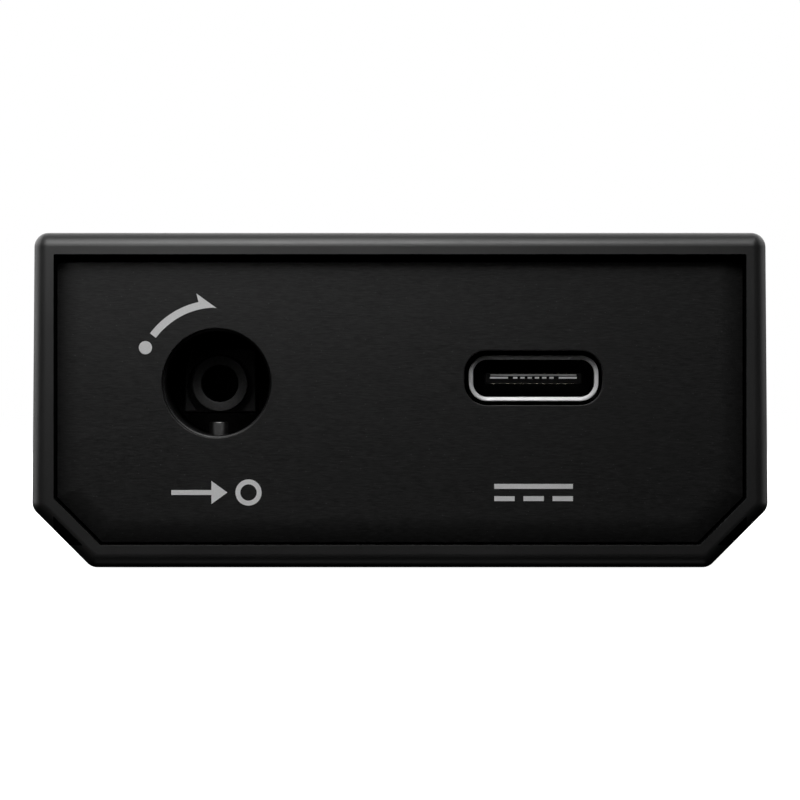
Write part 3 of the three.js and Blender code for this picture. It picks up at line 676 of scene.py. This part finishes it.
def input_socket():
    face, floor, back = REAR + PANEL_BACK + 0.05, REAR + BARREL_FLOOR, REAR + BARREL_BACK
    barrel = turned(
        "lock_barrel",
        (
            (BARREL_BORE, face, 0.2),
            (BARREL_RADIUS, face, 0.1),
            (BARREL_RADIUS, back, 0.1),
            (0, back, 0),
            (0, floor, 0),
            (BARREL_BORE, floor, 0.1),
        ),
        INPUT_X,
        AXIS,
        sides=128,
    )
    window = block("window", (INPUT_X - 2.6, floor - 1, AXIS - 2.1), (INPUT_X + 2.6, back + 1, AXIS + 2.55))
    pin_y = REAR + PIN_DEPTH
    hole_shape = disc(INPUT_X, pin_y, PIN_RADIUS + 0.1, 48)
    pin_hole = extruded("pin_hole", hole_shape, AXIS - 6.2, AXIS - 2.6, axis="z")
    cut(barrel, window, pin_hole)
    finish_piece(barrel, SOCKET, "chassis", "socket_black", "lock_sleeve")

    profile = (
        (0, AXIS - 4.9, 0),
        (PIN_RADIUS, AXIS - 4.9, 0.05),
        (PIN_RADIUS, AXIS - 2.68, 0.07),
        (0, AXIS - 2.67, 0),
    )
    pin = turned("locking_pin", profile, INPUT_X, pin_y, "z", 48)
    finish_piece(pin, PIN, "chassis", "steel", "lock_pin")

    low, high = (INPUT_X - 2.5, REAR + 7.6, AXIS - 2), (INPUT_X + 2.5, REAR + 18.6, AXIS + 2.45)
    body = block("jack_block", low, high, 0.12)
    well = extruded("well", disc(INPUT_X, AXIS - 0.25, 2.3), REAR + 6.6, REAR + 8.6)
    seat = extruded("seat", disc(INPUT_X, AXIS, 2.0), REAR + 7, REAR + 12)
    bore = extruded("bore", disc(INPUT_X, AXIS, NOSE_BORE, 64), REAR + 11, REAR + 17.8)
    cut(body, well, seat, bore)
    finish_piece(body, SOCKET, "chassis", "socket_black", "input_jack_body")

    front, end = REAR + NOSE_FRONT, REAR + NOSE_BACK
    profile = (
        (NOSE_BORE, front, 0.05),
        (NOSE_RADIUS, front, 0.08),
        (NOSE_RADIUS, end, 0.05),
        (NOSE_BORE, end, 0.05),
    )
    nose = turned("jack_nose", profile, INPUT_X, AXIS)
    finish_piece(nose, INSERT_PAINTED_LIGHT, "chassis", "socket_black", "input_jack_nose")


input_socket()

# ---- USB-C power socket --------------------------------------------------------------------------

USB_WIDTH, USB_HEIGHT, USB_CORNER, USB_WALL = 8.94, 3.16, 1.27, 0.3
USB_LIP, USB_BACK, LIP_LENGTH = 2.3, 8.8, 0.3
LIP_SLOPE = [(0.22, 0), (0.04, 0.08), (0, 0.16)]  # round the mouth of the shell
CONTACT_PITCH = 0.5


def usb_socket():
    x, lip, back = USB_X + 0.04, REAR + USB_LIP, REAR + USB_BACK
    joint = lip + LIP_LENGTH

    def section(inset):
        return pill(USB_WIDTH - 2 * inset, USB_HEIGHT - 2 * inset, USB_CORNER - inset, x)

    outer, inner = section(0), section(USB_WALL)
    slope = (LIP_SLOPE, 0)
    mouth = extruded("usb_lip", outer, lip, joint - 0.005, (0.05, 0), holes=[inner], hole_edges=slope)
    # The lip takes the nickel with a painted sheen.
    finish_piece(mouth, NICKEL_PAINTED_SHEEN, "chassis", "nickel")
    shell = extruded("usb_tube", outer, joint, back, (0, 0.05), holes=[inner], hole_edges=(0, 0.05))
    legs = []
    for side in (-1, 1):
        at = x + side * (USB_WIDTH / 2 - 0.16)
        for depth in (5.6, 7.9):
            y = REAR + depth
            legs.append(block("leg", (at - 0.15, y - 0.55, 10.72), (at + 0.15, y + 0.55, USB_Z - 0.79)))
    join(shell, *legs)
    finish_piece(shell, NICKEL, "chassis", "nickel", "usb_shell")

    plug = extruded("usb_moulding", section(USB_WALL + 0.05), REAR + 6.3, back - 0.1, (0.05, 0.05))
    tongue = extruded("tongue", rectangle(x, USB_Z, 6.69, 0.7, 0.12), REAR + 3.1, REAR + 6.8, (0.08, 0))
    join(plug, tongue)
    finish_piece(plug, INNER_PAINTED_SHADE, "chassis", "socket_black", "usb_insulator")

    contacts = []
    for side in (-1, 1):
        z = USB_Z + side * 0.35
        for i in range(12):
            at = x + (i - 5.5) * CONTACT_PITCH
            reach = 3.9 if i in (0, 3, 8, 11) else 4.1  # ground and power contacts meet first
            low = (at - 0.12, REAR + reach, z - 0.02)
            contacts.append(block("contact", low, (at + 0.12, REAR + 6.2, z + 0.02), 0.015))
    first = contacts[0]
    first.name = "usb_contacts"
    join(first, *contacts[1:])
    finish_piece(first, GOLD, "chassis", "contact_bronze")

    front_face, buried = REAR + 3.07, REAR + 3.3
    plate = block("usb_mid_plate", (x - 2.97, front_face, 13.46), (x + 2.97, buried, 13.57), 0.02)
    finish_piece(plate, PLATE, "chassis", "steel")
    spans = [sorted((side * 1.75, side * 3.0)) for side in (-1, 1)]
    spans += [((i - 2.5) * CONTACT_PITCH - 0.15, (i - 2.5) * CONTACT_PITCH + 0.15) for i in range(6)]
    strips = [block("strip", (x + a, front_face, 13.27), (x + b, buried, 13.4), 0.02) for a, b in spans]
    strips[0].name = "usb_strips"
    join(strips[0], *strips[1:])
    # The strips take the nickel with a painted sheen.
    finish_piece(strips[0], NICKEL_PAINTED_SHEEN, "chassis", "steel")


usb_socket()

# ---- Phones socket -------------------------------------------------------------------------------


def phones_socket():
    face = FRONT - 0.55
    bush = turned(
        "phones_bush",
        ((1.8, FRONT - 4, 0.05), (3.0, FRONT - 4, 0.05), (3.0, face, 0.2), (1.8, face, 0.3)),
        PHONES_X,
        AXIS,
    )
    finish_piece(bush, NICKEL, "chassis", "nickel", "phones_jack_bush")
    nut_low, nut_high = FRONT - PANEL_FACE, FRONT - 0.4
    profile = ((3.05, nut_low, 0.05), (4.2, nut_low, 0.05), (4.2, nut_high, 0.22), (3.05, nut_high, 0.1))
    nut = turned("phones_nut", profile, PHONES_X, AXIS)
    slots = []
    for turn in range(4):
        angle = math.radians(45 + 90 * turn)
        across = Vector((-math.sin(angle), math.cos(angle))) * 0.4
        near = Vector((PHONES_X + 3.55 * math.cos(angle), AXIS + 3.55 * math.sin(angle)))
        far = Vector((PHONES_X + 4.6 * math.cos(angle), AXIS + 4.6 * math.sin(angle)))
        outline = fixed([near - across, far - across, far + across, near + across])
        slots.append(extruded("slot", outline, nut_high - 0.45, nut_high + 1))
    cut(nut, *slots)
    finish_piece(nut, NICKEL, "chassis", "nickel", "phones_jack_nut")


phones_socket()

# ---- Volume control ------------------------------------------------------------------------------

TEETH = 72
KNOB_RADIUS = 7.0
KNURL_START, KNURL_END, KNURL_FADE, KNURL_DEPTH = 1.2, 1.6, 0.4, 0.22
POINTER_RISE = 4.45


def knurl(angle, radius, level):
    """Straight knurl on the side of the knob, which runs out at both ends."""
    if radius < KNOB_RADIUS - 0.01:
        return 0
    low, high = knob_low.y + KNURL_START, knob_high.y - KNURL_END
    inside = min(level - low, high - level) / KNURL_FADE
    depth = KNURL_DEPTH * max(0.0, min(1.0, inside))
    return depth * abs(math.sin(angle * TEETH / 2)) ** 0.7


knob_low, knob_high = cad("volume_knob")


def volume_control():
    low, high = knob_low.y, knob_high.y
    start, end = low + KNURL_START, high - KNURL_END
    between = [start + (end - start) * i / 12 for i in range(3, 10)]
    levels = (start - 0.01, start, start + KNURL_FADE, *between, end - KNURL_FADE, end)
    profile = (
        (6.0, low, 0.1),
        (KNOB_RADIUS, low, 0.25),
        *((KNOB_RADIUS, y, 0) for y in levels),
        (KNOB_RADIUS, high - 0.6, 0.15),
        (KNOB_RADIUS - 0.6, high, 0.15),
        (5.6, high, 0.1),
        (5.4, high - 0.12, 0.1),
        (0, high - 0.12, 0),
        (0, low + 7.75, 0),
        (3.05, low + 7.75, 0),
        (3.05, low + 3.7, 0.1),
        (6.0, low + 3.7, 0.1),
    )
    knob = turned("knob", profile, VOLUME_X, AXIS, sides=TEETH * 6, ripple=knurl)
    groove_shape = rectangle(VOLUME_X, AXIS + POINTER_RISE, 0.7, 3.3, 0.3)
    groove = extruded("groove", groove_shape, high - 0.42, high + 1)
    screw_low, screw_high = cad("knob_set_screw")
    spot = (screw_low + screw_high) / 2
    hole = extruded("hole", disc(spot.x, spot.y, 1.3, 48), AXIS - 8, AXIS - 1, axis="z")
    cut(knob, groove, hole)
    finish_piece(knob, CASE, "volume_control", "case_black", "volume_knob")

    pointer_shape = rectangle(VOLUME_X, AXIS + POINTER_RISE, 0.66, 3.26, 0.28)
    pointer = extruded("knob_pointer", pointer_shape, high - 0.41, high - 0.22, (0, 0.05))
    finish_piece(pointer, INK, "volume_control", "legend_grey")

    bottom, top = screw_low.z, screw_high.z
    profile = ((0, bottom, 0), (1.25, bottom, 0.15), (1.25, top, 0.1), (0, top, 0))
    grub = turned("grub_screw", profile, spot.x, spot.y, "z", 48)
    key = extruded("key", disc(spot.x, spot.y, 0.75, 6), screw_low.z - 1, screw_low.z + 1.4, axis="z")
    cut(grub, key)
    finish_piece(grub, BLACK_STEEL, "volume_control", "black_steel", "knob_set_screw")


volume_control()

# ---- Power button and status light -----------------------------------------------------------------


def power_button():
    low, high = cad("power_button_cap")
    face = high.y
    profile = (
        (0, low.y, 0),
        (3.6, low.y, 0.05),
        (3.6, low.y + 0.7, 0.05),
        (2.85, low.y + 0.7, 0.05),
        (2.85, face, 0.25),
        (2.3, face, 0.2),
        (1.6, face - 0.16, 0.6),
        (0, face - 0.2, 0),
    )
    cap = turned("button_cap", profile, POWER_X, AXIS)
    finish_piece(cap, CASE, "power_button", "case_black", "power_button_cap")


def status_light():
    low, high = cad("led_light_pipe")
    elbow = FRONT - 5.6
    profile = ((0, elbow, 0), (1.15, elbow, 0), (1.15, high.y - 0.12, 0.2), (0, high.y, 0))
    pipe = turned("light_pipe", profile, LED_X, AXIS, sides=64)
    leg = block("leg", (LED_X - 1, elbow - 1, low.z), (LED_X + 1, elbow + 1, high.z - 0.01), 0.1)
    join(pipe, leg)
    finish_piece(pipe, LENS, "chassis", "light_lens", "led_light_pipe")


power_button()
status_light()

# ---- Screws and feet -------------------------------------------------------------------------------


def screws_and_feet():
    for name, (low, high) in in_four_corners("case_screw").items():
        centre = (low + high) / 2
        profile = (
            (0, low.z, 0),
            (1.9, low.z, 0.1),
            (1.0, low.z + 0.9, 0.1),
            (1.0, high.z, 0.15),
            (0, high.z, 0),
        )
        screw = turned(name.replace("case_screw", "screw"), profile, centre.x, centre.y, "z", 64)
        key = extruded("key", disc(centre.x, centre.y, 0.65, 6), low.z - 1, low.z + 0.55, axis="z")
        cut(screw, key)
        finish_piece(screw, BLACK_STEEL, "chassis", "black_steel", name)
    for name, (low, high) in in_four_corners("foot").items():
        centre = (low + high) / 2
        profile = (
            (0, 0.06, 0),
            (3.1, 0.06, 0.1),
            (3.2, 0, 0.05),
            (4, 0, 0.3),
            (4, high.z, 0),
            (0, high.z, 0),
        )
        foot = turned(name.replace("foot", "rubber_foot"), profile, centre.x, centre.y, "z", 72)
        finish_piece(foot, RUBBER, "chassis", "foot_rubber", name)


screws_and_feet()

# ---- Printed legends -------------------------------------------------------------------------------

INK_FACE = REAR + PANEL_FACE - 0.02
INK_BACK = REAR + PANEL_FACE + 0.01
SYMBOL_Z, STROKE, RING_RADIUS = 5.45, 0.34, 0.9
DASH, DASH_DROP, LINE_HALF = 1.4, 0.42, 2.7
ARROW_STEPS = 20
SCALE_RADIUS, SCALE_DOTS = 7.75, 11


def inked(outline, *holes):
    return extruded("ink", fixed(outline), INK_FACE, INK_BACK, holes=[fixed(h) for h in holes])


def bar(start, end, z):
    """A level stroke."""
    low, high = z - STROKE / 2, z + STROKE / 2
    return inked([(start, low), (end, low), (end, high), (start, high)])


def symbol(name, *solids):
    """Joins its strokes into one printed piece."""
    solids[0].name = name
    join(solids[0], *solids[1:])
    finish_piece(solids[0], SYMBOL_INK, "chassis", "legend_grey")


def input_symbol():
    """An arrow that points at a ring: a signal goes in here."""
    neck, tip, ring = INPUT_X - 0.35, INPUT_X + 0.75, INPUT_X + 2.2
    head = inked([(neck, SYMBOL_Z - 0.8), (tip, SYMBOL_Z), (neck, SYMBOL_Z + 0.8)])
    outer, inner = (disc(ring, SYMBOL_Z, radius, 48)() for radius in (RING_RADIUS, RING_RADIUS - STROKE))
    symbol("legend_input", bar(INPUT_X - 3.1, neck + 0.1, SYMBOL_Z), head, inked(outer, inner))


def direct_current_symbol():
    """The usual sign for direct current: a line over three dashes."""
    left = USB_X - LINE_HALF
    starts = [left + i * (LINE_HALF - DASH / 2) for i in range(3)]
    line = bar(left, USB_X + LINE_HALF, SYMBOL_Z + DASH_DROP)
    symbol("legend_dc", line, *(bar(x, x + DASH, SYMBOL_Z - DASH_DROP) for x in starts))


input_symbol()
direct_current_symbol()


def turn_arrow():
    """An arc over the input hole, with a dot at its start and half an arrowhead at its end."""

    def polar(radius, angle):
        a = math.radians(angle)
        return (INPUT_X + radius * math.cos(a), AXIS + radius * math.sin(a))

    outer = [polar(5.7, 143.2 - 40.7 * i / ARROW_STEPS) for i in range(ARROW_STEPS + 1)]
    inner = [polar(5.19, 90 + 53.2 * i / ARROW_STEPS) for i in range(1, ARROW_STEPS + 1)]
    arrow = inked([*outer, polar(6.3, 102.6), polar(5.14, 89.8), *inner])
    arrow.name = "legend_turn"
    dot_x, dot_z = polar(5.45, 153.5)
    dot = extruded("dot", disc(dot_x, dot_z, 0.455, 48), INK_FACE, INK_BACK)
    join(arrow, dot)
    finish_piece(arrow, INK, "chassis", "legend_grey")


def volume_scale():
    """Eleven dots round the knob, over its whole travel."""
    low, high = FRONT - PANEL_FACE - 0.01, FRONT - PANEL_FACE + 0.02
    dots = []
    for i in range(SCALE_DOTS):
        angle = math.radians(240 - 30 * i)
        x, z = VOLUME_X + SCALE_RADIUS * math.cos(angle), AXIS + SCALE_RADIUS * math.sin(angle)
        dots.append(extruded("dot", disc(x, z, 0.2, 32), low, high))
    first = dots[0]
    first.name = "volume_scale"
    join(first, *dots[1:])
    finish_piece(first, INK, "chassis", "legend_grey")


turn_arrow()
volume_scale()

# ---- CAD nodes that stay, with better materials ----------------------------------------------------

KEPT = {
    SOCKET: ("phones_jack_body", "power_switch_plunger", "power_switch_body", "mute_relay"),
    NICKEL: ("volume_pot_bush", "volume_pot_nut"),
    STEEL: ("volume_pot_body", "volume_pot_washer", "volume_shaft"),
    BRONZE: (
        "input_tip_terminal",
        "input_ring_terminal",
        "phones_tip_terminal",
        "phones_ring_terminal",
        "volume_pot_terminals",
    ),
    BOARD: ("main_board",),
    CAN: ("capacitor_1", "capacitor_2", "capacitor_3", "capacitor_4"),
    CHIP: ("amplifier_chip_left", "amplifier_chip_right", "power_converter_chip", "resettable_fuse"),
    FERRITE: ("inductor_1", "inductor_2"),
    LENS: ("led_chip",),
    FILM: ("insulating_film",),
}
for material, names in KEPT.items():
    for name in names:
        mesh = nodes[name].data
        mesh.materials.clear()
        mesh.materials.append(material)

# ---- Floor, lights and camera ----------------------------------------------------------------------

FLOOR_HALF, FLOOR_GREY, FLOOR_GLOW = 3.0, 0.7, 1.0

world = bpy.data.worlds.new("studio")
bpy.context.scene.world = world
world.use_nodes = True
tree = world.node_tree
background = tree.nodes["Background"]
background.inputs["Color"].default_value = (1, 1, 1, 1)
path = tree.nodes.new("ShaderNodeLightPath")
tree.links.new(path.outputs["Is Camera Ray"], background.inputs["Strength"])


def studio_floor():
    """A pale plane, bright to the camera, that throws no light back on the object."""
    mesh = bpy.data.meshes.new("floor")
    signs = ((-1, -1), (1, -1), (1, 1), (-1, 1))
    mesh.from_pydata([(x * FLOOR_HALF, y * FLOOR_HALF, 0) for x, y in signs], [], [(0, 1, 2, 3)])
    plane = bpy.data.objects.new("floor", mesh)
    bpy.context.scene.collection.objects.link(plane)
    material = bpy.data.materials.new("floor_white")
    material.use_nodes = True
    floor_nodes, links = material.node_tree.nodes, material.node_tree.links
    floor_nodes.clear()
    diffuse = floor_nodes.new("ShaderNodeBsdfDiffuse")
    diffuse.inputs["Color"].default_value = (*grey(FLOOR_GREY), 1)
    glow = floor_nodes.new("ShaderNodeEmission")
    glow.inputs["Strength"].default_value = FLOOR_GLOW
    added = floor_nodes.new("ShaderNodeAddShader")
    output = floor_nodes.new("ShaderNodeOutputMaterial")
    links.new(diffuse.outputs[0], added.inputs[0])
    links.new(glow.outputs[0], added.inputs[1])
    links.new(added.outputs[0], output.inputs["Surface"])
    mesh.materials.append(material)
    plane.visible_diffuse = False
    plane.visible_glossy = False
    plane.visible_transmission = False


studio_floor()


LAMP_AIM = 12


def softbox(name, centre_x, centre_y, azimuth, elevation, distance, wide, tall, strength):
    """A lamp that looks at a point of the case, LAMP_AIM high. Azimuth 0 is in front of the sockets,
    90 is on their right, and elevation is above the horizon. wide and tall are the angles that it
    fills as seen from that point, and strength is its radiance."""
    a, e = math.radians(azimuth), math.radians(elevation)
    away = Vector((math.sin(a) * math.cos(e), -math.cos(a) * math.cos(e), math.sin(e)))
    light = bpy.data.lights.new(name, "AREA")
    light.shape = "RECTANGLE"
    light.size = 2 * distance * MM * math.tan(math.radians(wide / 2))
    light.size_y = 2 * distance * MM * math.tan(math.radians(tall / 2))
    light.energy = strength * math.pi * light.size * light.size_y
    lamp = bpy.data.objects.new(name, light)
    lamp.location = Vector((centre_x, centre_y, LAMP_AIM)) * MM + away * distance * MM
    lamp.rotation_euler = away.to_track_quat("Z", "Y").to_euler()
    lamp.visible_camera = False
    bpy.context.scene.collection.objects.link(lamp)


# name, the point it looks at, azimuth, elevation, distance, width, height and strength
LIGHTS = (
    ("key", 0, REAR, 6, 39, 120, 17, 11, 7.9),
    ("key_high", 0, REAR, 6, 50, 120, 17, 11, 4.5),
    ("key_top", 0, REAR, 30, 61, 120, 17, 11, 1.4),
    ("key_right", 0, REAR, 30, 50, 120, 17, 11, 0.6),
    ("key_left", 0, REAR, -20, 39, 120, 17, 11, 2.1),
    ("key_low", 0, REAR, 6, 25, 120, 17, 11, 0.2),
    ("side_right", 0, REAR, 60, 61, 120, 17, 11, 2.9),
    ("side_left", 0, REAR, -45, 61, 120, 17, 11, 0.7),
    ("corner_low", -22, REAR, 0, 30, 75, 30, 15, 0.6),
    ("corner_left_low", -20, REAR, -15, 25, 45, 40, 20, 0.3),
    ("corner_left", -20, REAR, -15, 45, 45, 40, 20, 1.8),
    ("corner_left_high", -20, REAR, -15, 65, 45, 40, 20, 1.1),
    ("corner_right", -20, REAR, 30, 45, 45, 40, 20, 1.2),
    ("corner_right_high", -20, REAR, 30, 65, 45, 40, 20, 1.3),
    ("under", 0, REAR, 0, -80, 120, 40, 25, 0.2),
    ("back_low", 0, 0, 180, 25, 600, 70, 30, 2.2),
    ("back_high", 0, 0, 180, 60, 600, 110, 35, 0.9),
    ("back_left", 0, 0, -112, 20, 600, 60, 40, 1.6),
    ("back_right", 0, 0, 112, 20, 600, 60, 40, 0.8),
)
for row in LIGHTS:
    softbox(*row)

CAMERA_LENS, CAMERA_SENSOR = 196.65, 36
CAMERA_DISTANCE, CAMERA_HEIGHT = 298.7, 11.8

camera_data = bpy.data.cameras.new("camera")
camera_data.lens = CAMERA_LENS
camera_data.sensor_width = CAMERA_SENSOR
camera_data.clip_start, camera_data.clip_end = 0.01, 10
camera = bpy.data.objects.new("camera", camera_data)
camera.location = Vector((0, REAR - CAMERA_DISTANCE, CAMERA_HEIGHT)) * MM
camera.rotation_euler = (math.pi / 2, 0, 0)
bpy.context.scene.collection.objects.link(camera)
bpy.context.scene.camera = camera
bpy.context.scene.view_settings.view_transform = "Standard"
